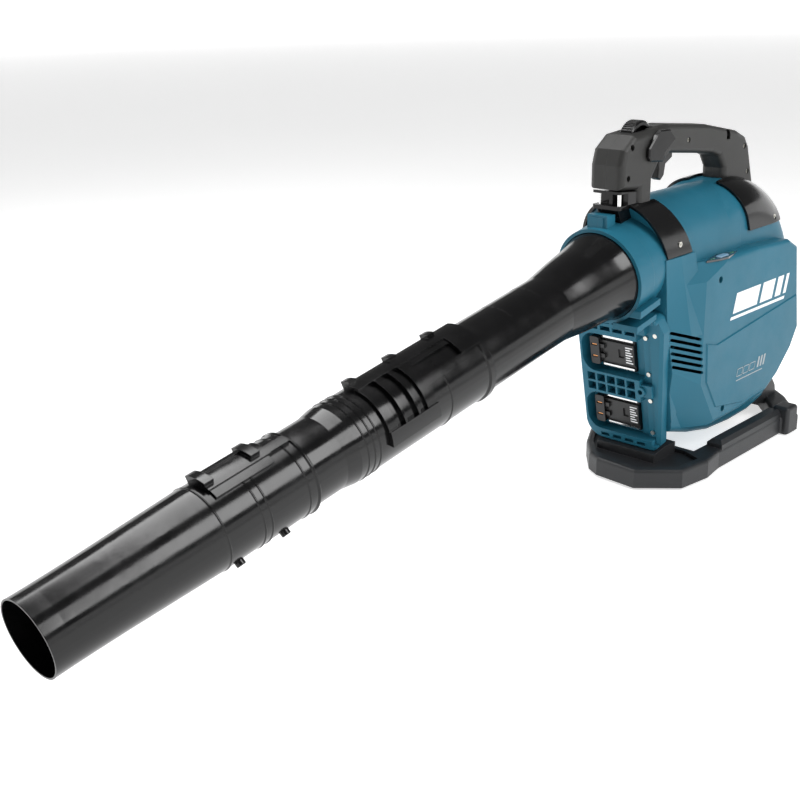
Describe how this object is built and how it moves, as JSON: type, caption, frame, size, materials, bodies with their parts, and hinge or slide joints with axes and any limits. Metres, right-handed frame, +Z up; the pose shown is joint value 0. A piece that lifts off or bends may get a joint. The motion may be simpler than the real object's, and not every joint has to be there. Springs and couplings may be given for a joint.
{
  "type": "cordless handheld leaf blower",
  "caption": "Handheld battery leaf blower with a long telescoping nozzle, top handle, side fan drum, open battery bays and a floor stand.",
  "frame": {"origin": "centre of the machine's box at floor level, under the tube axis", "axes": "+X to the operator's left (the panel side), the nozzle points along -Y and slopes down by 10.76 degrees, +Z up"},
  "size_m": [0.22, 1.252, 0.4661],
  "materials": {
    "teal_housing": "satin moulded",
    "gloss_black": "glossy moulded",
    "grip_grey": "satin, fine grain",
    "stand_black": "matte, fine grain",
    "inner_black": "matte",
    "rubber": "matte",
    "screw_steel": "zinc plated",
    "rail_steel": "bright",
    "lens": "glossy",
    "button_blue": "glossy",
    "fan_plastic": "satin",
    "core_steel": "laminated",
    "copper": "enamelled wire",
    "magnet": "ground",
    "alloy": "die cast"
  },
  "bodies": {
    "machine": {"left_housing": "teal_housing", "right_housing": "teal_housing", "indicator_panel": "lens", "housing_screws": "screw_steel", "front_cover_left": "gloss_black", "front_cover_right": "gloss_black", "rear_cover_left": "gloss_black", "rear_cover_right": "gloss_black", "cover_screws": "screw_steel", "handle_left": "grip_grey", "handle_right": "grip_grey", "handle_screws": "screw_steel", "strap_bracket": "gloss_black", "strap_rods": "rail_steel", "trigger_pin": "screw_steel", "trigger_spring": "screw_steel", "switch_unit": "inner_black", "rear_nozzle": "gloss_black", "nozzle_seal": "rubber", "front_bearing": "core_steel", "rear_bearing": "core_steel", "motor_plate": "alloy", "motor_cap": "alloy", "stator": "core_steel", "stator_coils": "copper", "volute": "inner_black", "controller_box": "alloy", "intake_grille": "teal_housing", "intake_screws": "screw_steel", "battery_frame": "teal_housing", "terminal_carrier_upper": "inner_black", "terminal_carrier_lower": "inner_black", "contact_blades": "copper", "bay_rails": "rail_steel", "module_screws": "screw_steel", "floor_stand": "stand_black", "stand_screws": "screw_steel", "foot_pads": "rubber"},
    "rotor": {"impeller": "fan_plastic", "impeller_nut": "screw_steel", "rotor_shaft": "core_steel", "rotor_magnet": "magnet"},
    "middle_tube": {"middle_tube": "gloss_black", "middle_lock": "gloss_black"},
    "front_nozzle": {"front_nozzle": "gloss_black", "front_lock": "gloss_black", "lock_pegs": "gloss_black"},
    "trigger": {"trigger": "inner_black"},
    "speed_lever": {"speed_lever": "gloss_black"},
    "check_button": {"check_button": "button_blue"}
  },
  "joints": [
    {"name": "fan_spin", "type": "hinge", "parent": "machine", "child": "rotor", "pos_m": [0, 0.44896, 0.203], "axis": [1, 0, 0], "continuous": true},
    {"name": "tube_slide", "type": "slide", "parent": "machine", "child": "middle_tube", "axis": [0, 0.9824, 0.1867], "range_m": [0, 0.12]},
    {"name": "tip_slide", "type": "slide", "parent": "middle_tube", "child": "front_nozzle", "axis": [0, 0.9824, 0.1867], "range_m": [0, 0.038]},
    {"name": "trigger_pull", "type": "hinge", "parent": "machine", "child": "trigger", "pos_m": [0, 0.30996, 0.431], "axis": [1, 0, 0], "range_deg": [0, 17], "stiffness_Nm_per_rad": 0.35, "springref_deg": -14.32},
    {"name": "speed_hold", "type": "hinge", "parent": "machine", "child": "speed_lever", "pos_m": [0, 0.25896, 0.439], "axis": [1, 0, 0], "range_deg": [0, 50]},
    {"name": "check_press", "type": "slide", "parent": "machine", "child": "check_button", "axis": [0, 0, -1], "range_m": [0, 0.0012], "stiffness_N_per_m": 400, "springref_m": -0.0008}
  ]
}
